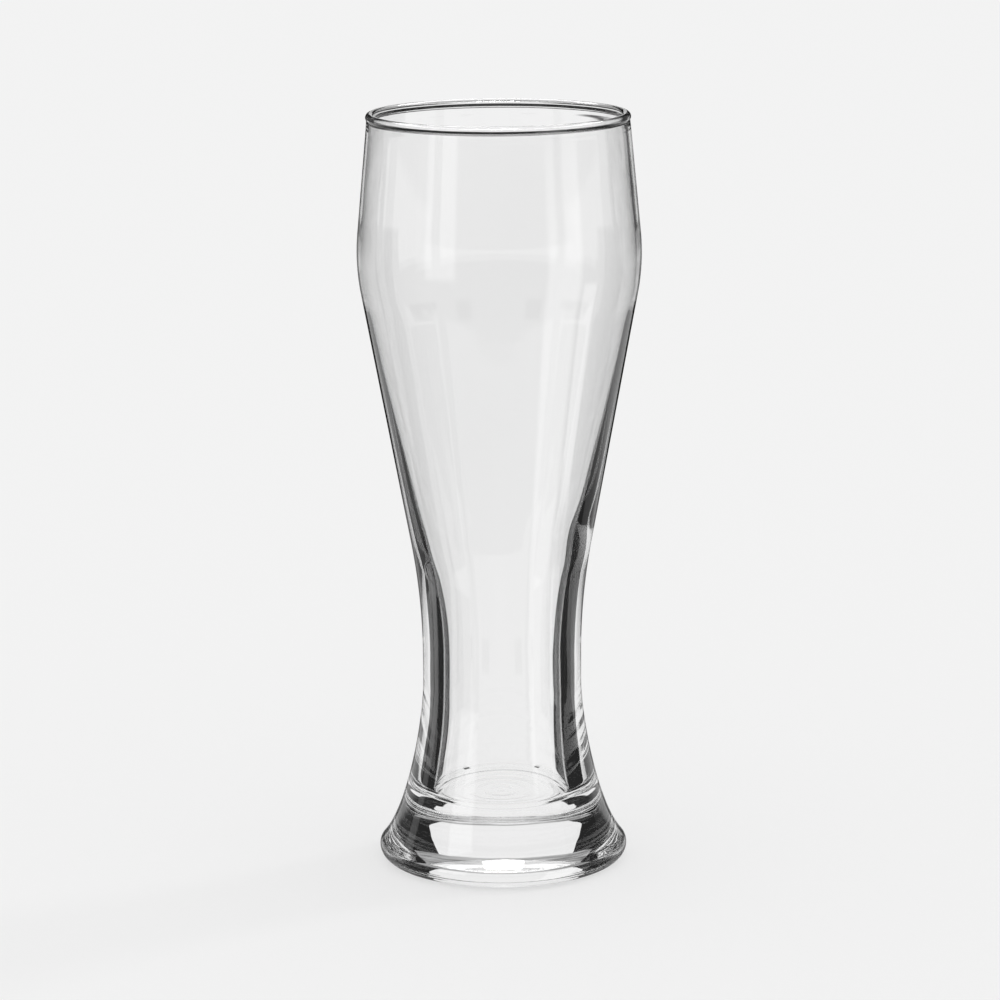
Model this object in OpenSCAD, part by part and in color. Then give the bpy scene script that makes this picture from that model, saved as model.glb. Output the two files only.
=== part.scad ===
// Tall wheat-beer glass, turned about the Z axis and standing on its foot at z = 0.
// The real glass is one piece. It is split here at level seams into the parts that it is
// formed in: the pressed foot, the thick blown shank, the thin bowl and the melted rim bead.

/* [Overall] */
// Height from the table to the top of the rim
glass_h = 222; // [210:1:250]

/* [Rim] */
// How far the rim's bead is drawn in from the belly, along the radius
rim_draw_in = 3.05; // [2:0.05:4.5]
// Radius of the bead's round section
bead_r = 1.3; // [1:0.05:1.5]
// How far the bead stands out past the wall under it
bead_stand = 0.35; // [0.2:0.05:0.5]
// Height of the band of wall that belongs to the rim
rim_band_h = 5; // [4:0.5:8]

/* [Bowl] */
// Diameter over the belly, where the glass is widest
belly_d = 82.5; // [78:0.5:88]
// How far the belly's widest line is below the rim, as a share of the glass's height
belly_drop_share = 0.1829; // [0.16:0.0005:0.21]
// Radius of the belly's bend in the outline, per height from the waist to the belly
belly_bend_share = 0.53; // [0.4:0.01:0.59]
// Thickness of the blown wall at the rim
rim_wall_t = 1.2; // [0.9:0.05:1.5]
// Thickness of the blown wall at the belly
belly_wall_t = 1.27; // [1:0.01:1.6]
// Radius of the belly's bend inside, per height of the bore from the waist to the belly
belly_bore_bend_share = 0.596; // [0.5:0.002:0.65]

/* [Waist] */
// Diameter over the waist, the narrowest place
waist_d = 46.8; // [44:0.2:50]
// Height at which the foot's flare ends in the waist, as a share of the glass's height
waist_low_share = 0.2432; // [0.225:0.0005:0.26]
// Height of the upright stretch of the waist
waist_h = 7.5; // [5:0.5:10]
// Radius of the outline's bend above the waist, per height from the waist to the belly
waist_bend_share = 1.585; // [1.3:0.005:1.7]
// Thickness of the blown wall at the waist
waist_wall_t = 6; // [5:0.1:7]
// Share of the waist's upright stretch by which the bore's is shorter at each end
bore_inset_share = 0.24; // [0:0.02:0.4]
// Radius of the bore's bend above the waist, per height of the bore from waist to belly
bore_bend_share = 1.06; // [0.95:0.01:1.2]
// Radius of the bore's bend below the waist
bore_low_bend_r = 200; // [150:5:260]

/* [Foot] */
// Diameter over the edge of the foot
foot_d = 73.4; // [66:0.2:80]
// Height of the foot's widest line, which is also the radius under it
edge_z = 4; // [3:0.1:5]
// Radius of the edge above the widest line
edge_top_r = 2.8; // [2:0.1:4]
// Slope at which the flare leaves the edge, measured from upright
flare_slope = 41; // [32:1:48]
// Share of the flare's height that it stays upright at the waist
flare_waist_share = 0.24; // [0.1:0.01:0.4]
// Share of the flare's height that it keeps its slope at the edge
flare_edge_share = 0.245; // [0.1:0.005:0.35]
// Height of the floor of the bore, which is the thickness of the solid base
floor_z = 19; // [16:0.5:24]
// Radius of the corner between the floor and the wall of the bore
floor_corner_r = 3; // [1:0.1:5]
// Width of the flat ring that the glass stands on
bearing_w = 5; // [3:0.5:8]
// Depth of the shallow hollow under the foot
hollow_depth = 0.6; // [0.3:0.1:1.5]

/* [Hidden] */
bend_steps = 14;
flare_steps = 22;
turn_facets = 144;
glass_tint = [0.87, 0.90, 0.90, 0.45];

belly_r = belly_d / 2;
belly_z = glass_h * (1 - belly_drop_share);
waist_r = waist_d / 2;
waist_low_z = waist_low_share * glass_h;
waist_high_z = waist_low_z + waist_h;
rim_r = belly_r - rim_draw_in;
foot_r = foot_d / 2;
bead_z = glass_h - bead_r;
wall_top_r = rim_r - bead_stand;
bearing_r = foot_r - edge_z;
hollow_r = bearing_r - bearing_w;

bore_r = waist_r - waist_wall_t;
bore_low_z = waist_low_z + bore_inset_share * waist_h;
bore_high_z = waist_high_z - bore_inset_share * waist_h;
belly_bore_r = belly_r - belly_wall_t;
bore_top_r = wall_top_r - rim_wall_t;

// The bends grow with the height that they fill, so that they fit a taller or lower glass
waist_bend_r = waist_bend_share * (belly_z - waist_high_z);
belly_bend_r = belly_bend_share * (belly_z - waist_high_z);
bore_high_bend_r = bore_bend_share * (belly_z - bore_high_z);
belly_bore_bend_r = belly_bore_bend_share * (belly_z - bore_high_z);

// Slope of the common tangent of two bends that turn opposite ways, or of one bend and a
// point. bend is the sum of their radii, rise and step are the way from one to the other.
function tangent_slope(rise, step, bend) =
    asin(bend / norm([rise, bend - step])) - atan2(bend - step, rise);

// Points of a round stretch of outline, as [radius from the axis, height]
function round_run(centre, r, from, to) =
    [for (i = [0:bend_steps]) let (a = from + (to - from) * i / bend_steps)
        centre + r * [cos(a), sin(a)]];

// Points of a cubic that leaves the first end towards the second point and reaches the
// last end from the third
function cubic_run(p0, p1, p2, p3) =
    [for (i = [0:flare_steps]) let (t = i / flare_steps, u = 1 - t)
        u * u * u * p0 + 3 * t * u * u * p1 + 3 * t * t * u * p2 + t * t * t * p3];

cone_slope = tangent_slope(belly_z - waist_high_z, belly_r - waist_r,
                           waist_bend_r + belly_bend_r);
taper_slope = tangent_slope(bead_z - belly_z, belly_r - wall_top_r, belly_bend_r);
bore_cone_slope = tangent_slope(belly_z - bore_high_z, belly_bore_r - bore_r,
                                bore_high_bend_r + belly_bore_bend_r);
bore_taper_slope = tangent_slope(bead_z - belly_z, belly_bore_r - bore_top_r,
                                 belly_bore_bend_r);

// The base is solid up to the bore's floor, and the shank ends where the cone starts
seam_foot_z = floor_z;
seam_shank_z = waist_high_z + waist_bend_r * sin(cone_slope);
seam_rim_z = glass_h - rim_band_h;

// The flare runs from the edge's upper round to the waist
edge_end = [foot_r - edge_top_r * (1 - cos(flare_slope)),
            edge_z + edge_top_r * sin(flare_slope)];
flare_h = waist_low_z - edge_end[1];
flare = cubic_run(edge_end,
                  edge_end + flare_edge_share * flare_h * [-sin(flare_slope), cos(flare_slope)],
                  [waist_r, waist_low_z - flare_waist_share * flare_h],
                  [waist_r, waist_low_z]);

outline = concat(
    [[0, 0]],
    round_run([bearing_r, edge_z], edge_z, -90, 0),
    round_run([foot_r - edge_top_r, edge_z], edge_top_r, 0, flare_slope),
    flare,
    round_run([waist_r + waist_bend_r, waist_high_z], waist_bend_r, 180, 180 - cone_slope),
    round_run([belly_r - belly_bend_r, belly_z], belly_bend_r, -cone_slope, taper_slope),
    [[wall_top_r, bead_z], [0, bead_z]]);

// The floor's corner touches both the level floor and the bore's lower bend
bore_bend_centre = [bore_r + bore_low_bend_r, bore_low_z];
corner_z = floor_z + floor_corner_r;
corner_drop = bore_low_z - corner_z;
corner_run = sqrt(pow(bore_low_bend_r + floor_corner_r, 2) - pow(corner_drop, 2));
corner_centre = [bore_bend_centre[0] - corner_run, corner_z];
corner_slope = atan2(corner_drop, corner_run);

bore = concat(
    [[0, floor_z]],
    round_run(corner_centre, floor_corner_r, -90, corner_slope),
    round_run(bore_bend_centre, bore_low_bend_r, 180 + corner_slope, 180),
    round_run([bore_r + bore_high_bend_r, bore_high_z], bore_high_bend_r,
              180, 180 - bore_cone_slope),
    round_run([belly_bore_r - belly_bore_bend_r, belly_z], belly_bore_bend_r,
              -bore_cone_slope, bore_taper_slope),
    [[bore_top_r, bead_z], [0, bead_z]]);

// The hollow is a shallow dome that ends at the bearing ring
dome_r = (pow(hollow_r, 2) + pow(hollow_depth, 2)) / (2 * hollow_depth);
dome_half = asin(hollow_r / dome_r);
hollow = concat([[0, 0]],
                round_run([0, hollow_depth - dome_r], dome_r, 90 - dome_half, 90));

module section() {
    difference() {
        polygon(outline);
        polygon(bore);
        polygon(hollow);
    }
    translate([rim_r - bead_r, bead_z]) circle(bead_r, $fn = turn_facets / 4);
}

// One turned part of the glass, between two level seams
module turned(low_z, high_z) {
    rotate_extrude($fn = turn_facets)
        intersection() {
            section();
            translate([0, low_z]) square([max(belly_r, foot_r), high_z - low_z]);
        }
}

module foot() {
    color(glass_tint) turned(0, seam_foot_z);
}

module shank() {
    color(glass_tint) turned(seam_foot_z, seam_shank_z);
}

module bowl() {
    color(glass_tint) turned(seam_shank_z, seam_rim_z);
}

module rim_bead() {
    color(glass_tint) turned(seam_rim_z, glass_h);
}

foot();
shank();
bowl();
rim_bead();
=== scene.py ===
# A clear wheat-beer glass on a pale table. Lengths are in metres, Z is up, and the glass
# stands on its foot at z = 0 with its axis on Z.
import math

import bmesh
import bpy
from mathutils import Matrix, Vector


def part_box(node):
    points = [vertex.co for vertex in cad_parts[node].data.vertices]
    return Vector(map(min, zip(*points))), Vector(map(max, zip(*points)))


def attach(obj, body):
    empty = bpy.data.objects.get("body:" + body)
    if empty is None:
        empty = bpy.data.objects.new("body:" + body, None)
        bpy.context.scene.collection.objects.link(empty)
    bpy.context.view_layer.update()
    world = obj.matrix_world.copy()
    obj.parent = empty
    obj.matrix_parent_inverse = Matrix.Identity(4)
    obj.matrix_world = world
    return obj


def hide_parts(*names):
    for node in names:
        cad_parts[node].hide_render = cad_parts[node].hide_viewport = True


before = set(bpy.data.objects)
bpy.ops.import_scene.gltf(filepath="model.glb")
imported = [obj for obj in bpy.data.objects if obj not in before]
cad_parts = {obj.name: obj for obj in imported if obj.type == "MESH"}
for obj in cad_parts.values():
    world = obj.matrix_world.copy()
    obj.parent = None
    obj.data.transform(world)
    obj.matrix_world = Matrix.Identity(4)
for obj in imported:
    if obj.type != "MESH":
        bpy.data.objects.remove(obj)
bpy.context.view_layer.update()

# Camera
# A long lens, a little over a metre in front of the glass and a third of a metre up, looks
# down on it by twelve degrees. It is tipped sideways in its mount by less than half a degree.
scene = bpy.context.scene
camera_place = Vector((-0.00028, -1.1039, 0.3431))
camera_dip = math.radians(12.02)
camera_roll = math.radians(-0.402)


def put_in_scene(name, data):
    """A new object at the origin that shows this data."""
    thing = bpy.data.objects.new(name, data)
    scene.collection.objects.link(thing)
    return thing


camera_data = bpy.data.cameras.new("camera")
camera_data.lens = 138.53
camera_data.sensor_width = 36
camera_data.clip_start = 0.01
camera = put_in_scene("camera", camera_data)
camera_aim = Vector((0, math.cos(camera_dip), -math.sin(camera_dip)))
camera.matrix_world = (
    Matrix.Translation(camera_place)
    @ camera_aim.to_track_quat("-Z", "Y").to_matrix().to_4x4()
    @ Matrix.Rotation(camera_roll, 4, "Z")
)
scene.camera = camera
scene.view_settings.view_transform = "Standard"
# Light crosses many skins of the glass and is thrown to and fro between them
scene.cycles.max_bounces = 32
scene.cycles.transmission_bounces = 32
scene.cycles.glossy_bounces = 16
scene.cycles.transparent_max_bounces = 48

# Studio
# The table is a flat sheet of matt white card under soft white light from all round, and the
# backdrop is as pale. Black flags to the left and right give the clear glass its dark edges,
# and soft boxes in front and overhead give it its highlights.
MM = 0.001
WHITE = (1, 1, 1, 1)
BACKDROP = 0.8879
FLAG = 0.02
DAYLIGHT = 1.0


class Value:
    """A socket of a node tree that sums and products can be written with."""

    def __init__(self, graph, socket):
        self.graph = graph
        self.socket = socket

    def other(self, output):
        """Another output of the same node."""
        return Value(self.graph, self.socket.node.outputs[output])

    def maths(self, operation, *others):
        terms = dict(enumerate((self,) + others))
        return self.graph.add("ShaderNodeMath", {"operation": operation}, terms)

    def __add__(self, other):
        return self.maths("ADD", other)

    def __mul__(self, other):
        return self.maths("MULTIPLY", other)

    def __sub__(self, other):
        return self.maths("SUBTRACT", other)

    def __rsub__(self, other):
        return self.maths("MULTIPLY", -1) + other

    def __truediv__(self, other):
        return self.maths("DIVIDE", other)

    __radd__ = __add__
    __rmul__ = __mul__


class Graph:
    """A node tree. add() makes any node, sets it and gives one of its outputs."""

    def __init__(self, tree):
        self.tree = tree

    def add(self, kind, settings=None, inputs=None, output=0):
        node = self.tree.nodes.new(kind)
        for name, value in (settings or {}).items():
            setattr(node, name, value)
        for key, value in (inputs or {}).items():
            if isinstance(value, Value):
                self.tree.links.new(value.socket, node.inputs[key])
            else:
                node.inputs[key].default_value = value
        return Value(self, node.outputs[output] if len(node.outputs) else None)


def empty_graph(owner):
    """The node tree of a material or world, with nothing in it yet."""
    owner.use_nodes = True
    owner.node_tree.nodes.clear()
    return Graph(owner.node_tree)


def hide_from(thing, *rays):
    """Lets these kinds of light pass by the thing."""
    for ray in rays:
        setattr(thing, "visible_" + ray, False)


def stays_clear(graph, reflected, one_wall):
    """How far light counts as clear. Straight through both walls of the glass counts as 1.

    Light that is reflected on its way through both walls counts as reflected, light through
    one wall only as one_wall, and any other as 0.
    """
    skins = graph.add("ShaderNodeLightPath", output="Transmission Depth")
    # A wall has two skins, so both walls have four
    both = skins.maths("GREATER_THAN", 3.5)
    plain = skins.other("Glossy Depth").maths("LESS_THAN", 0.5)
    return plain * (both + (1 - both) * one_wall) + (1 - plain) * both * reflected


# The camera sees an even pale backdrop, and daylight from all round lights the table
world = bpy.data.worlds.new("studio")
scene.world = world
sky = empty_graph(world)
is_camera = sky.add("ShaderNodeLightPath", output="Is Camera Ray")
sky_level = is_camera * (BACKDROP - DAYLIGHT) + DAYLIGHT
sky_skin = sky.add("ShaderNodeBackground", {}, {"Color": WHITE, "Strength": sky_level})
sky.add("ShaderNodeOutputWorld", {}, {"Surface": sky_skin})

# The glass sees a round studio, three metres across, with the flags and boxes on its walls
studio_r = 1.5
studio_work = bmesh.new()
bmesh.ops.create_uvsphere(studio_work, u_segments=96, v_segments=64, radius=studio_r)
studio_mesh = bpy.data.meshes.new("studio walls")
studio_work.to_mesh(studio_mesh)
studio_work.free()
walls = bpy.data.materials.new("studio walls")
studio = empty_graph(walls)
# A spot on the walls has a turn, from 0 behind the glass to 180 at the camera, and a rise
# above the level of the table, both in degrees
degrees = 180 / math.pi
spot = studio.add("ShaderNodeTexCoord", output="Object")
towards = studio.add("ShaderNodeVectorMath", {"operation": "NORMALIZE"}, {0: spot})
east = studio.add("ShaderNodeSeparateXYZ", {}, {0: towards})
facing = east.maths("ARCTAN2", east.other("Y") * -1) * degrees
turn = 180 - facing.maths("ABSOLUTE")
rise = east.other("Z").maths("ARCSINE") * degrees


def above(value, edge, soft):
    """1 where value is over edge, 0 under it, with a soft border."""
    ends = {"Value": value, "From Min": edge - soft / 2, "From Max": edge + soft / 2}
    return studio.add("ShaderNodeMapRange", {"interpolation_type": "SMOOTHSTEP"}, ends)


def patch(turn_from, turn_to, rise_from, rise_to, soft, share):
    """share inside a patch of the studio's walls, to both sides alike, and 0 outside it."""
    across = above(turn, turn_from, soft) * (1 - above(turn, turn_to, soft)) * share
    return across * above(rise, rise_from, soft) * (1 - above(rise, rise_to, soft))


def laid_over(level, mask, brightness):
    """The level where mask is 0, brightness where it is 1."""
    return level + mask * (brightness - level)


def hung_with(level, patches):
    """The level of light once the patches hang on the walls, the later in front of the earlier."""
    for *place, brightness in patches.values():
        level = laid_over(level, patch(*place), brightness)
    return level


on_right = above(facing, 0, 1)
on_left = 1 - on_right
light_path = studio.add("ShaderNodeLightPath")
unreflected = light_path.other("Glossy Depth").maths("LESS_THAN", 0.5)
# The walls show differently by the way that light takes through the glass. Each patch has its
# turn from and to, its rise from and to, the width of its soft border, the share of it that
# shows and its brightness. A turn from -1 to 181 is all the way round.
STRAIGHT_THROUGH = {
    "near flag on the left": (25, 40, -45, 60, 1.2, on_left, FLAG),
    "near flag on the right": (22.5, 40, -45, 60, 1.2, on_right, FLAG),
    "side flags": (53, 60, -45, 60, 1.2, 1, FLAG),
    "front flags": (120, 128, -45, 60, 1.2, 1, FLAG),
    "dim ceiling": (-1, 181, 11.5, 91, 1, 1, 0.04),
}
ROUND_THE_CORNER = {
    "wide flag on the left": (25, 84, -45, 60, 1.2, on_left, FLAG),
    "wide flag on the right": (22.5, 84, -45, 60, 1.2, on_right, FLAG),
    "low side flags": (98, 126, -24, -13, 1.2, 1, FLAG),
    "low front flags": (144, 157, -24, -13, 1.2, 1, FLAG),
    "low dark strips behind": (1.5, 14, -8, 0.4, 1, 1, FLAG),
    "low dark strip behind on the right": (13, 21, -8, 0.4, 1, on_right, FLAG),
    "dark ceiling": (-1, 181, 8.5, 91, 1, 1, FLAG),
    "pale side cards": (24, 110, -4, 14, 2, unreflected, 0.8),
}
MIRRORED = {
    "backdrop": (-1, 5, -91, 91, 1, 1, BACKDROP),
    "dim strips under the backdrop": (5, 22, -90, -10, 1, 1, 0.25),
    "dark strips beside the backdrop": (5, 22, -10, 90, 1, 1, FLAG),
    "low dim cards": (22, 62, -90, -14, 6, 1, 0.3),
    "low pale cards": (22, 62, -14, -0.5, 5, 1, 0.75),
    "side flags": (62, 110, -90, 44, 2, 1, FLAG),
    "narrow box on the left": (64, 75, -19, 36, 3, on_left, 0.7),
    "front box on the left": (119, 145, -5.5, 36, 5, on_left, 1.7),
    "front box on the right": (111, 141, -60, 11, 6, on_right, 1.8),
    "small box on the right": (94, 107, -24, -8, 3, on_right, 1.8),
    "ring of light overhead": (-1, 181, 44, 56, 1.5, 1, 6.0),
    "lamp over the camera": (155, 181, 44.5, 60, 2, 1, 24),
}
room_brightness = 0.15
ceiling_brightness = 0.85
straight = hung_with(BACKDROP, STRAIGHT_THROUGH)
bent = hung_with(BACKDROP, ROUND_THE_CORNER)
mirrored = hung_with(room_brightness, MIRRORED)
# Clear light sees the first set of patches, other light the second. Light that is reflected
# inside the glass counts as clear past flags_end, or low down past low_flags_end, and light
# through one wall only counts as clear far below the table.
flags_end = 105
low_flags_end = 43
low_down = 1 - above(rise, -4.5, 1.5)
past_flags = above(turn + low_down * (flags_end - low_flags_end), flags_end, 10)
far_below = 1 - above(rise, -10, 2)
through = laid_over(bent, stays_clear(studio, past_flags, far_below), straight)
through = laid_over(through, above(rise, 40, 3), ceiling_brightness)
level = laid_over(mirrored, light_path.other("Is Transmission Ray"), through)
level = laid_over(level, light_path.other("Diffuse Depth").maths("GREATER_THAN", 0.5), DAYLIGHT)
walls_skin = studio.add("ShaderNodeEmission", {}, {"Color": WHITE, "Strength": level})
studio.add("ShaderNodeOutputMaterial", {}, {"Surface": walls_skin})
walls.cycles.emission_sampling = "NONE"
studio_mesh.materials.append(walls)
studio_walls = put_in_scene("studio walls", studio_mesh)
hide_from(studio_walls, "camera", "diffuse", "shadow", "volume_scatter")

# Cards stand close round the foot: white behind it, black beside it and white again nearer
# the camera. Light straight through both walls passes them. Each has its brightness, how
# far streaks change that, its lower and upper edge in millimetres, its sectors in degrees
# from straight behind the glass, and 1 where light that the glass reflects passes it too.
LOW_CARDS = {
    "low white card": (BACKDROP, 0, -32, 108, ((-23, 21),), 0),
    "white side cards": (BACKDROP, 0, 0, 101, ((126, 144), (216, 234)), 1),
    "low black cards": (FLAG, 0, -60, 60, ((21.5, 84), (276, 336.5)), 0),
    "high black cards": (FLAG, 0, 60, 108, ((21.5, 84), (276, 336.5)), 1),
    "black side cards": (FLAG, 0, -60, 60, ((98, 125), (235, 262)), 1),
    "low streaked card": (0.36, 0.3, 108, 170, ((-40, 40),), 0),
}
low_card_r = 200 * MM
streaks_per_metre = (12, 12, 130)


def curved_card(name, card_low, card_high, sectors):
    """Mesh of an upright card that is bent round the glass."""
    work = bmesh.new()
    for sector_from, sector_to in sectors:
        steps = 4 * math.ceil((sector_to - sector_from) / 10)
        rungs = []
        for i in range(steps + 1):
            a = math.radians(sector_from + (sector_to - sector_from) * i / steps)
            x, y = low_card_r * math.sin(a), low_card_r * math.cos(a)
            rungs.append([work.verts.new((x, y, z * MM)) for z in (card_low, card_high)])
        for (low_a, high_a), (low_b, high_b) in zip(rungs, rungs[1:]):
            work.faces.new((low_a, low_b, high_b, high_a))
    mesh = bpy.data.meshes.new(name)
    work.to_mesh(mesh)
    work.free()
    return mesh


def card_skin(name, brightness, streaks, missed):
    """Material of a card that glows evenly or in level streaks, and that clear light passes."""
    skin = bpy.data.materials.new(name)
    graph = empty_graph(skin)
    place = graph.add("ShaderNodeTexCoord", output="Object")
    stretch = {"operation": "MULTIPLY"}
    stretched = graph.add("ShaderNodeVectorMath", stretch, {0: place, 1: streaks_per_metre})
    noise = graph.add("ShaderNodeTexNoise", {}, {"Vector": stretched, "Scale": 1.0, "Detail": 2.0})
    card_level = (noise - 0.5) * (4 * streaks) + brightness
    lit = graph.add("ShaderNodeEmission", {}, {"Color": WHITE, "Strength": card_level})
    unseen = graph.add("ShaderNodeBsdfTransparent", {}, {"Color": WHITE})
    passed = stays_clear(graph, missed, 0)
    shown = graph.add("ShaderNodeMixShader", {}, {0: passed, 1: lit, 2: unseen})
    graph.add("ShaderNodeOutputMaterial", {}, {"Surface": shown})
    skin.cycles.emission_sampling = "NONE"
    return skin


for card_name, (brightness, streaks, low_edge, high_edge, sectors, missed) in LOW_CARDS.items():
    low_card = put_in_scene(card_name, curved_card(card_name, low_edge, high_edge, sectors))
    low_card.data.materials.append(card_skin(card_name, brightness, streaks, missed))
    hide_from(low_card, "camera", "diffuse", "glossy", "shadow", "volume_scatter")

# A window behind the glass on the right gives it a faint, soft shadow
sun_data = bpy.data.lights.new("window light", "SUN")
sun_data.energy = 0.4
sun_data.angle = math.radians(9)
sun_from = Vector((0.85, 0.52, 0.7))
sun = put_in_scene("window light", sun_data)
sun_turn = sun_from.to_track_quat("Z", "Y").to_matrix().to_4x4()
sun.matrix_world = Matrix.Translation(sun_from) @ sun_turn
hide_from(sun, "glossy", "transmission")

table_half = 40.0
table_z = -0.05 * MM
table_mesh = bpy.data.meshes.new("table")
corner_signs = ((-1, -1), (1, -1), (1, 1), (-1, 1))
table_corners = [(x * table_half, y * table_half, table_z) for x, y in corner_signs]
table_mesh.from_pydata(table_corners, [], [(0, 1, 2, 3)])
table = put_in_scene("table", table_mesh)
# The camera sees the card partly as bright as the backdrop, so that no edge shows between
# them and the shadow stays faint
card_white = 0.84
backdrop_share = 0.62
card = bpy.data.materials.new("white card")
card_graph = empty_graph(card)
card_colour = (card_white, card_white, card_white, 1)
card_plain = card_graph.add("ShaderNodeBsdfDiffuse", {}, {"Color": card_colour})
card_lit = card_graph.add("ShaderNodeEmission", {}, {"Color": WHITE, "Strength": BACKDROP})
lit_share = backdrop_share * card_graph.add("ShaderNodeLightPath", output="Is Camera Ray")
card_face = card_graph.add("ShaderNodeMixShader", {}, {0: lit_share, 1: card_plain, 2: card_lit})
card_graph.add("ShaderNodeOutputMaterial", {}, {"Surface": card_face})
card.cycles.emission_sampling = "NONE"
table_mesh.materials.append(card)
hide_from(table, "glossy", "transmission")

# Foot
# The solid base of the glass, pressed in a mould and fire-polished. Its flare runs up from a
# rounded edge, its underside is almost flat, and the floor of the bore shows the rings that
# the plunger left.
foot_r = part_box("foot")[1].x
floor_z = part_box("foot")[1].z
edge_z = 4 * MM
edge_top_r = 2.8 * MM
flare_slope = math.radians(41)
flare_edge_share = 0.245
flare_waist_share = 0.24
flare_steps = 200
bearing_w = 5 * MM
hollow_depth = 0.6 * MM
waist_r = 23.4 * MM
waist_low_z = 53.99 * MM
waist_h = 7.5 * MM
waist_wall_t = 6 * MM
bore_inset_share = 0.24
bore_low_bend_r = 200 * MM
floor_corner_r = 3 * MM
ring_pitch = 4.2 * MM
ring_depth = 0.1 * MM
ring_fade = 2.5 * MM
turn_facets = 288
seam_step = 3 * MM


def bend(centre_r, centre_z, radius, start, end, steps=64):
    """Points of a round stretch of the section, as (distance from the axis, height)."""
    turns = [start + (end - start) * i / steps for i in range(steps + 1)]
    return [(centre_r + radius * math.cos(t), centre_z + radius * math.sin(t)) for t in turns]


def spaced(points, step):
    """The same line with stations a step apart, closer together near its two ends."""
    first_step = 0.12 * MM
    growth = 0.35
    along = [0.0]
    for (r0, z0), (r1, z1) in zip(points, points[1:]):
        along.append(along[-1] + math.hypot(r1 - r0, z1 - z0))
    total = along[-1]
    places = [0.0]
    while places[-1] < total / 2:
        places.append(places[-1] + min(step, first_step + growth * places[-1]))
    scale = total / 2 / places[-1]
    half = [p * scale for p in places]
    stations = half + [total - p for p in reversed(half[:-1])]
    result, k = [], 0
    for s in stations:
        while k < len(along) - 2 and along[k + 1] < s:
            k += 1
        t = (s - along[k]) / max(along[k + 1] - along[k], 1e-12)
        (r0, z0), (r1, z1) = points[k], points[k + 1]
        result.append((r0 + (r1 - r0) * t, z0 + (z1 - z0) * t))
    return result


def bump_at(value, centre, width):
    """A soft hump that is 1 at its centre."""
    return math.exp(-(((value - centre) / width) ** 2))


def lean(z):
    """How far the plunger stood off the axis while the glass was blown, by height."""
    over_floor = 0.35 * bump_at(z, 24 * MM, 14 * MM)
    settled = min(max((z - 70 * MM) / (40 * MM), 0), 1)
    over_waist = 0.22 * settled * settled * (3 - 2 * settled)
    return -(over_floor + over_waist) * MM


def shoulder(z):
    """How far the bore's shoulder bulges in on one side, by height."""
    return 0.42 * MM * bump_at(z, 99 * MM, 8.5 * MM)


def knead(z):
    """Height of the broad dents that the mould leaves in the foot, by height."""
    return 0.07 * MM * bump_at(z, 8 * MM, 12 * MM)


def edge_ring(z):
    """Height of the fine rings that the mould leaves on the foot, by height."""
    on_edge = 0.012 * bump_at(z, 10 * MM, 16 * MM)
    under_floor = 0.03 * bump_at(z, 17.8 * MM, 2.2 * MM)
    return (on_edge + under_floor) * MM


def swell(inner):
    """Height of the long soft waves of blown glass, larger on the bore's side."""
    return (0.05 * inner + 0.012) * MM


def floor_ring(r):
    """Height of the rings that the plunger left on the floor of the bore."""
    fade = min(max((corner_r - r) / ring_fade, 0), 1)
    return -ring_depth * fade * (0.5 - 0.5 * math.cos(2 * math.pi * r / ring_pitch))


# The lathe turns a section about Z. It lays out a grid with a row for each station of the
# section and a column for each facet. The measures that each station carries say how far
# the glass leaves its pure form there.
turning = bpy.data.node_groups.new("turning", "GeometryNodeTree")
SOCKETS = {"Section": "Geometry", "Facets": "Int", "Glass": "Material", "Seam": "Material"}
for socket_name, kind in SOCKETS.items():
    turning.interface.new_socket(name=socket_name, in_out="INPUT", socket_type="NodeSocket" + kind)
turning.interface.new_socket(name="Piece", in_out="OUTPUT", socket_type="NodeSocketGeometry")
lathe = Graph(turning)
section = lathe.add("NodeGroupInput")
facets_in = section.other("Facets")
station_count = lathe.add("GeometryNodeAttributeDomainSize", {}, {0: section}, "Point Count")
grid_size = {"Vertices X": facets_in + 1, "Vertices Y": station_count}
sheet = lathe.add("GeometryNodeMeshGrid", {}, grid_size)
index = lathe.add("GeometryNodeInputIndex")
station = index.maths("FLOORED_MODULO", station_count)
column_no = (index / station_count).maths("FLOOR")


def sampled(field, data_type, at):
    """A field's value at one station of the section."""
    return lathe.add("GeometryNodeSampleIndex", {"data_type": data_type}, {0: section, 1: field, 2: at})


def measure_at(name, at):
    """One of the measures that a station carries."""
    field = lathe.add("GeometryNodeInputNamedAttribute", {"data_type": "FLOAT"}, {"Name": name})
    return sampled(field, "FLOAT", at)


place = sampled(lathe.add("GeometryNodeInputPosition"), "FLOAT_VECTOR", station)
reach = lathe.add("ShaderNodeSeparateXYZ", {}, {0: place})
height = reach.other("Z")
angle = column_no * (2 * math.pi) / facets_in
cos_a, sin_a = angle.maths("COSINE"), angle.maths("SINE")
# The bore has waves of its own, because its noise is read this far off the outer side's
bore_noise_shift = 7.3
noise_shift = measure_at("inner", station) * bore_noise_shift


def waves(across, along):
    """Noise that closes on itself round the glass, from -1 to 1."""
    spot_of = {"X": cos_a * across, "Y": sin_a * across, "Z": height * along + noise_shift}
    where = lathe.add("ShaderNodeCombineXYZ", {}, spot_of)
    noise = lathe.add("ShaderNodeTexNoise", {}, {"Vector": where, "Scale": 1.0, "Detail": 1.0})
    return noise * 2 - 1


# How fast each kind of wave changes round the glass and, per metre, along its height
WAVES = {"ring": (1.3, 330), "swell": (1.1, 38), "knead": (3.5, 110)}
offset = sum(waves(*rates) * measure_at(name, station) for name, rates in WAVES.items())
one_side = cos_a.maths("MAXIMUM", 0).maths("POWER", 2)
offset = offset - one_side * measure_at("shoulder", station)
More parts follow.
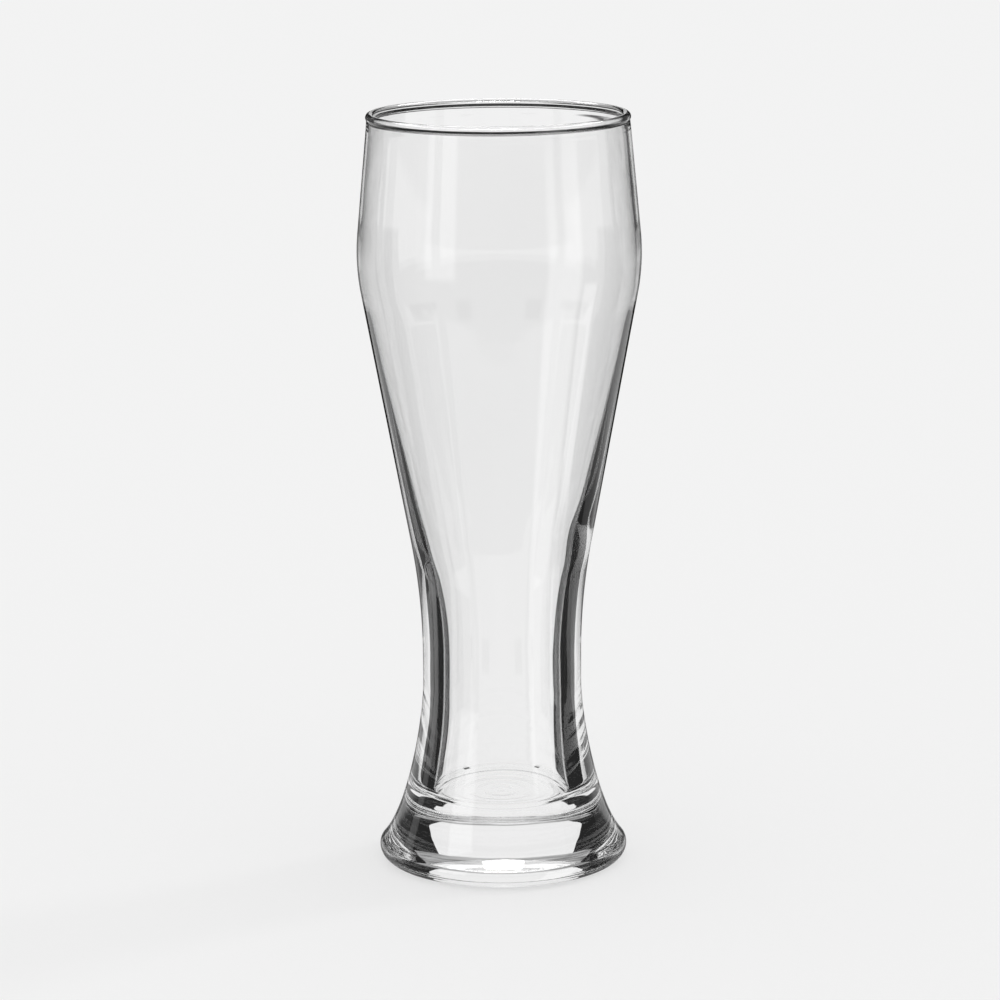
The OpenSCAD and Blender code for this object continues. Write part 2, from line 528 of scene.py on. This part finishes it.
# No wave reaches the axis, so that the poles stay closed
pole_calm = 3 * MM
radius = reach + offset * (reach / (reach + pole_calm))
leaning_x = radius * cos_a + measure_at("lean", station)
turned_spot = {"X": leaning_x, "Y": radius * sin_a, "Z": height}
turned_to = lathe.add("ShaderNodeCombineXYZ", {}, turned_spot)
face_station = index.maths("FLOORED_MODULO", station_count - 1)
seam_face = measure_at("seam", face_station).maths("GREATER_THAN", 0.5)
flagged = lathe.add(
    "GeometryNodeStoreNamedAttribute",
    {"data_type": "BOOLEAN", "domain": "FACE"},
    {"Geometry": sheet, "Name": "seam face", "Value": seam_face},
)
shaped = lathe.add("GeometryNodeSetPosition", {}, {"Geometry": flagged, "Position": turned_to})
merge = {"Geometry": shaped, "Distance": 0.0005 * MM}
closed = lathe.add("GeometryNodeMergeByDistance", {}, merge)
solid = lathe.add("GeometryNodeRealizeInstances", {}, {"Geometry": closed})
glaze = {"Geometry": solid, "Material": section.other("Glass")}
glazed = lathe.add("GeometryNodeSetMaterial", {}, glaze)
boolean = {"data_type": "BOOLEAN"}
is_seam = lathe.add("GeometryNodeInputNamedAttribute", boolean, {"Name": "seam face"})
seam_cover = {"Geometry": glazed, "Selection": is_seam, "Material": section.other("Seam")}
finished = lathe.add("GeometryNodeSetMaterial", {}, seam_cover)
lathe.add("NodeGroupOutput", {}, {"Piece": finished})

glass = bpy.data.materials.new("clear glass")
glass_graph = empty_graph(glass)
glass_spot = glass_graph.add("ShaderNodeTexCoord", output="Object")
side = glass_graph.add("ShaderNodeSeparateXYZ", {}, {0: glass_spot})
deep = side.other("Y")
up = side.other("Z")
off_axis = (side * side + deep * deep + 1e-9).maths("SQRT")
# The ring that the glass stands on is worn and scored in circles
scores_round = 1.5
scores_per_metre = 500
score_spot = {
    "X": side / off_axis * scores_round,
    "Y": deep / off_axis * scores_round,
    "Z": off_axis * scores_per_metre,
}
scored = glass_graph.add("ShaderNodeCombineXYZ", {}, score_spot)
score_noise = {"Vector": scored, "Scale": 1.0, "Detail": 2.0}
scores = glass_graph.add("ShaderNodeTexNoise", {}, score_noise)
near_table = {
    "Value": up,
    "From Min": 0.02 * MM,
    "From Max": 0.12 * MM,
    "To Min": 1.0,
    "To Max": 0.0,
}
rests = glass_graph.add("ShaderNodeMapRange", {}, near_table)
score_bump = {"Strength": rests, "Distance": 0.006 * MM, "Height": scores}
worn = glass_graph.add("ShaderNodeBump", {}, score_bump)
# The melt is never quite even, so the glass is a shade greyer here and there
melt_across = 30
melt_along = 9
melt_spot = {"X": side * melt_across, "Y": deep * melt_across, "Z": up * melt_along}
streaked = glass_graph.add("ShaderNodeCombineXYZ", {}, melt_spot)
melt_noise = {"Vector": streaked, "Scale": 1.0, "Detail": 1.0}
uneven = glass_graph.add("ShaderNodeTexNoise", {}, melt_noise)
darkest = 0.985
shades = {"Value": uneven, "From Min": 0.3, "From Max": 0.7, "To Min": darkest, "To Max": 1.0}
shade = glass_graph.add("ShaderNodeMapRange", {}, shades)
melt_colour = {"Red": shade, "Green": shade, "Blue": shade}
melt = glass_graph.add("ShaderNodeCombineColor", {}, melt_colour)
clear = glass_graph.add(
    "ShaderNodeBsdfPrincipled",
    {},
    {"Base Color": melt, "Roughness": 0.0, "IOR": 1.52, "Transmission Weight": 1.0, "Normal": worn},
)
glass_graph.add("ShaderNodeOutputMaterial", {}, {"Surface": clear})
# Where two pieces meet the real glass goes on, so light passes the seam unchanged
seam_clear = bpy.data.materials.new("seam inside the glass")
seam_graph = empty_graph(seam_clear)
nothing = seam_graph.add("ShaderNodeBsdfTransparent", {}, {"Color": WHITE})
seam_graph.add("ShaderNodeOutputMaterial", {}, {"Surface": nothing})

# A run of a piece's section starts and ends outside, at 0, or in the bore, at 1, and it is
# a seam or not
OUTSIDE = (0, 0, False)
IN_BORE = (1, 1, False)
SEAM_INWARDS = (0, 1, True)
SEAM_OUTWARDS = (1, 0, True)


def section_line(name, runs):
    """Mesh of a section whose stations carry their measures."""
    rows = []
    for points, (inner_start, inner_end, seam) in runs:
        for k, (r, z) in enumerate(points[:-1]):
            inner = inner_start + (inner_end - inner_start) * k / (len(points) - 1)
            rows.append((r, z, inner, float(seam)))
    last_points, (_, last_inner, last_seam) = runs[-1]
    rows.append((*last_points[-1], last_inner, float(last_seam)))
    line = bpy.data.meshes.new(name + " section")
    line.from_pydata([(r, 0, z) for r, z, _, _ in rows], [(k, k + 1) for k in range(len(rows) - 1)], [])
    measures = {
        "seam": [seam for _, _, _, seam in rows],
        "inner": [inner for _, _, inner, _ in rows],
        "lean": [lean(z) * inner for _, z, inner, _ in rows],
        "ring": [edge_ring(z) * (1 - inner) for _, z, inner, _ in rows],
        "knead": [knead(z) * (1 - inner) for _, z, inner, _ in rows],
        "shoulder": [shoulder(z) * inner for _, z, inner, _ in rows],
        "swell": [swell(inner) for _, _, inner, _ in rows],
    }
    for measure, values in measures.items():
        line.attributes.new(measure, "FLOAT", "POINT").data.foreach_set("value", values)
    return line


def fire_polish(mesh):
    """Closes the mesh, turns its faces outwards and leaves only the seams' borders sharp."""
    work = bmesh.new()
    work.from_mesh(mesh)
    bmesh.ops.remove_doubles(work, verts=work.verts, dist=1e-7)
    bmesh.ops.recalc_face_normals(work, faces=work.faces)
    for edge in work.edges:
        if len(edge.link_faces) == 2:
            edge.smooth = edge.link_faces[0].material_index == edge.link_faces[1].material_index
    for face in work.faces:
        face.smooth = True
    work.to_mesh(mesh)
    work.free()


def turned(name, runs):
    """One turned piece from the runs of its section, each its points and one of the above."""
    line = section_line(name, runs)
    measures = [attribute.name for attribute in line.attributes if attribute.data_type == "FLOAT"]
    blank = put_in_scene(name + " blank", line)
    modifier = blank.modifiers.new("turning", "NODES")
    modifier.node_group = turning
    inputs = [item for item in turning.interface.items_tree if item.in_out == "INPUT"]
    sockets = {item.name: item.identifier for item in inputs}
    modifier[sockets["Facets"]] = turn_facets
    modifier[sockets["Glass"]] = glass
    modifier[sockets["Seam"]] = seam_clear
    bpy.context.view_layer.update()
    evaluated = blank.evaluated_get(bpy.context.evaluated_depsgraph_get())
    mesh = bpy.data.meshes.new_from_object(evaluated)
    bpy.data.objects.remove(blank)
    fire_polish(mesh)
    for attribute in list(mesh.attributes):
        if attribute.name in measures:
            mesh.attributes.remove(attribute)
    mesh.name = name
    return put_in_scene(name, mesh)


edge_end_r = foot_r - edge_top_r * (1 - math.cos(flare_slope))
edge_end_z = edge_z + edge_top_r * math.sin(flare_slope)
flare_h = waist_low_z - edge_end_z
flare_start_r = edge_end_r - flare_edge_share * flare_h * math.sin(flare_slope)
flare_start_z = edge_end_z + flare_edge_share * flare_h * math.cos(flare_slope)
flare_points = (
    (edge_end_r, edge_end_z),
    (flare_start_r, flare_start_z),
    (waist_r, waist_low_z - flare_waist_share * flare_h),
    (waist_r, waist_low_z),
)


def flare_at(t):
    """A point of the flare's cubic, from the edge at 0 to the waist at 1."""
    weights = ((1 - t) ** 3, 3 * t * (1 - t) ** 2, 3 * t * t * (1 - t), t**3)
    return tuple(sum(w * p[axis] for w, p in zip(weights, flare_points)) for axis in (0, 1))


flare = [flare_at(i / flare_steps) for i in range(flare_steps + 1)]
flare_seam = next(k for k, (r, z) in enumerate(flare) if z > floor_z)
(r0, z0), (r1, z1) = flare[flare_seam - 1], flare[flare_seam]
seam_point = (r0 + (r1 - r0) * (floor_z - z0) / (z1 - z0), floor_z)

bore_low_z = waist_low_z + bore_inset_share * waist_h
bore_r = waist_r - waist_wall_t
corner_drop = bore_low_z - floor_z - floor_corner_r
corner_run = math.sqrt((bore_low_bend_r + floor_corner_r) ** 2 - corner_drop**2)
corner_r = bore_r + bore_low_bend_r - corner_run
corner_slope = math.atan2(corner_drop, corner_run)

bearing_r = foot_r - edge_z
hollow_r = bearing_r - bearing_w
dome_r = (hollow_r**2 + hollow_depth**2) / (2 * hollow_depth)
dome_half = math.asin(hollow_r / dome_r)

under = bend(0, hollow_depth - dome_r, dome_r, math.pi / 2, math.pi / 2 - dome_half)
under.append((bearing_r, 0))
edge = bend(bearing_r, edge_z, edge_z, -math.pi / 2, 0)
edge += bend(foot_r - edge_top_r, edge_z, edge_top_r, 0, flare_slope)[1:]
flare_below_seam = flare[:flare_seam] + [seam_point]
floor_points = spaced([(corner_r, floor_z), (0, floor_z)], step=0.4 * MM)
floor_line = [(r, z + floor_ring(r)) for r, z in floor_points]
foot = turned(
    "foot_glass",
    [
        (spaced(under, step=0.8 * MM), OUTSIDE),
        (spaced(edge, step=0.3 * MM), OUTSIDE),
        (spaced(flare_below_seam, step=0.5 * MM), OUTSIDE),
        (spaced([seam_point, (corner_r, floor_z)], seam_step), SEAM_INWARDS),
        (floor_line, IN_BORE),
    ],
)
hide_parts("foot")
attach(foot, "root")

# Shank
# The thick-walled narrow part over the foot, blown from the same gather of glass. The hand
# closes round it, and its bore widens both ways from the waist.
belly_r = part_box("bowl")[1].x
bowl_seam_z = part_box("shank")[1].z
glass_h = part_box("rim_bead")[1].z
belly_drop_share = 0.1829
waist_bend_share = 1.585
belly_bend_share = 0.53
bore_bend_share = 1.06
belly_bore_bend_share = 0.596
belly_wall_t = 1.27 * MM
belly_z = glass_h * (1 - belly_drop_share)
waist_high_z = waist_low_z + waist_h
waist_bend_r = waist_bend_share * (belly_z - waist_high_z)
belly_bend_r = belly_bend_share * (belly_z - waist_high_z)
bore_high_z = waist_high_z - bore_inset_share * waist_h
bore_high_bend_r = bore_bend_share * (belly_z - bore_high_z)
belly_bore_bend_r = belly_bore_bend_share * (belly_z - bore_high_z)
belly_bore_r = belly_r - belly_wall_t


def tangent_slope(rise_h, step, bend_sum):
    """Slope from upright of the line that touches two bends that turn opposite ways."""
    lead = bend_sum - step
    return math.asin(bend_sum / math.hypot(rise_h, lead)) - math.atan2(lead, rise_h)


cone_slope = tangent_slope(belly_z - waist_high_z, belly_r - waist_r, waist_bend_r + belly_bend_r)
bore_bend_sum = bore_high_bend_r + belly_bore_bend_r
bore_slope = tangent_slope(belly_z - bore_high_z, belly_bore_r - bore_r, bore_bend_sum)
shank_skin = [seam_point] + flare[flare_seam:]
shank_skin += bend(waist_r + waist_bend_r, waist_high_z, waist_bend_r, math.pi, math.pi - cone_slope)
low_bend_turn = math.pi + corner_slope
shank_bore = bend(corner_r, floor_z + floor_corner_r, floor_corner_r, -math.pi / 2, corner_slope)
shank_bore += bend(bore_r + bore_low_bend_r, bore_low_z, bore_low_bend_r, low_bend_turn, math.pi)[1:]
high_bend_turn = math.pi - bore_slope
shank_bore += bend(bore_r + bore_high_bend_r, bore_high_z, bore_high_bend_r, math.pi, high_bend_turn)
bore_end_r, bore_end_z = shank_bore[-1]
bore_seam = (bore_end_r + (bowl_seam_z - bore_end_z) * math.tan(bore_slope), bowl_seam_z)
shank_bore.append(bore_seam)
shank = turned(
    "shank_glass",
    [
        (spaced([(corner_r, floor_z), seam_point], seam_step), SEAM_OUTWARDS),
        (spaced(shank_skin, step=0.8 * MM), OUTSIDE),
        (spaced([shank_skin[-1], bore_seam], seam_step), SEAM_INWARDS),
        (spaced(shank_bore[::-1], step=0.7 * MM), IN_BORE),
    ],
)
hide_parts("shank")
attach(shank, "root")

# Bowl
# The thin blown wall: a long cone that opens to the belly and draws in again to the rim. Its
# wall thins from the shank to little more than a millimetre.
rim_seam_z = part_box("rim_bead")[0].z
rim_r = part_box("rim_bead")[1].x
bead_r = 1.3 * MM
bead_stand = 0.35 * MM
rim_wall_t = 1.2 * MM
bead_z = glass_h - bead_r
wall_top_r = rim_r - bead_stand
bore_top_r = wall_top_r - rim_wall_t
taper = tangent_slope(bead_z - belly_z, belly_r - wall_top_r, belly_bend_r)
bore_taper = tangent_slope(bead_z - belly_z, belly_bore_r - bore_top_r, belly_bore_bend_r)


def down_from_bead(top_r, slope, z):
    """How far off the axis a tapered side is at a height, from where it is at the bead's."""
    return top_r + (bead_z - z) * math.tan(slope)


skin_rim = (down_from_bead(wall_top_r, taper, rim_seam_z), rim_seam_z)
bore_rim = (down_from_bead(bore_top_r, bore_taper, rim_seam_z), rim_seam_z)
bowl_skin = [shank_skin[-1]]
bowl_skin += bend(belly_r - belly_bend_r, belly_z, belly_bend_r, -cone_slope, taper)
bowl_skin.append(skin_rim)
belly_bore_centre_r = belly_bore_r - belly_bore_bend_r
bowl_bore = [bore_seam]
bowl_bore += bend(belly_bore_centre_r, belly_z, belly_bore_bend_r, -bore_slope, bore_taper)
bowl_bore.append(bore_rim)
bowl = turned(
    "bowl_glass",
    [
        (spaced([bore_seam, shank_skin[-1]], seam_step), SEAM_OUTWARDS),
        (spaced(bowl_skin, step=1.0 * MM), OUTSIDE),
        (spaced([skin_rim, bore_rim], seam_step), SEAM_INWARDS),
        (spaced(bowl_bore[::-1], step=1.0 * MM), IN_BORE),
    ],
)
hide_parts("bowl")
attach(bowl, "root")

# Rim bead
# The lip, cut off and melted in the flame until it drew up into a round bead, a little
# thicker than the wall under it.
bead_centre_r = rim_r - bead_r
fillet = 0.25 * MM
OVER_LIP = (0, 1, False)


def rounded(before, corner, after, steps=10):
    """A soft corner: a curve from before to after that is drawn towards the corner."""
    curve = []
    for i in range(steps + 1):
        t = i / steps
        pull = ((1 - t) ** 2, 2 * t * (1 - t), t * t)
        ways = zip(before, corner, after)
        curve.append(tuple(pull[0] * b + pull[1] * c + pull[2] * a for b, c, a in ways))
    return curve


def on_bead(t):
    """The point of the bead's round section at an angle."""
    return (bead_centre_r + bead_r * math.cos(t), bead_z + bead_r * math.sin(t))


def meets_bead(top_r, slope, side_sign):
    """Angle under the level at which a wall's straight side runs into the bead."""

    def gap(t):
        side_r = down_from_bead(top_r, slope, bead_z - bead_r * math.sin(t))
        return abs(bead_centre_r + side_sign * bead_r * math.cos(t) - side_r)

    tenths = range(1, 900)
    return min((math.radians(k / 10) for k in tenths), key=gap)


outer_meet = meets_bead(wall_top_r, taper, 1)
inner_meet = meets_bead(bore_top_r, bore_taper, -1)
round_off = fillet / bead_r
lip_start = round_off - outer_meet
lip_end = math.pi + inner_meet - round_off
outer_z = on_bead(-outer_meet)[1] - fillet
inner_z = on_bead(math.pi + inner_meet)[1] - fillet
outer_foot = (down_from_bead(wall_top_r, taper, outer_z), outer_z)
inner_foot = (down_from_bead(bore_top_r, bore_taper, inner_z), inner_z)
lip = [skin_rim] + rounded(outer_foot, on_bead(-outer_meet), on_bead(lip_start))
lip += bend(bead_centre_r, bead_z, bead_r, lip_start, lip_end)[1:-1]
lip += rounded(on_bead(lip_end), on_bead(math.pi + inner_meet), inner_foot) + [bore_rim]
rim = turned(
    "rim_glass",
    [
        (spaced([bore_rim, skin_rim], seam_step), SEAM_OUTWARDS),
        (spaced(lip, step=0.15 * MM), OVER_LIP),
    ],
)
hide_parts("rim_bead")
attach(rim, "root")
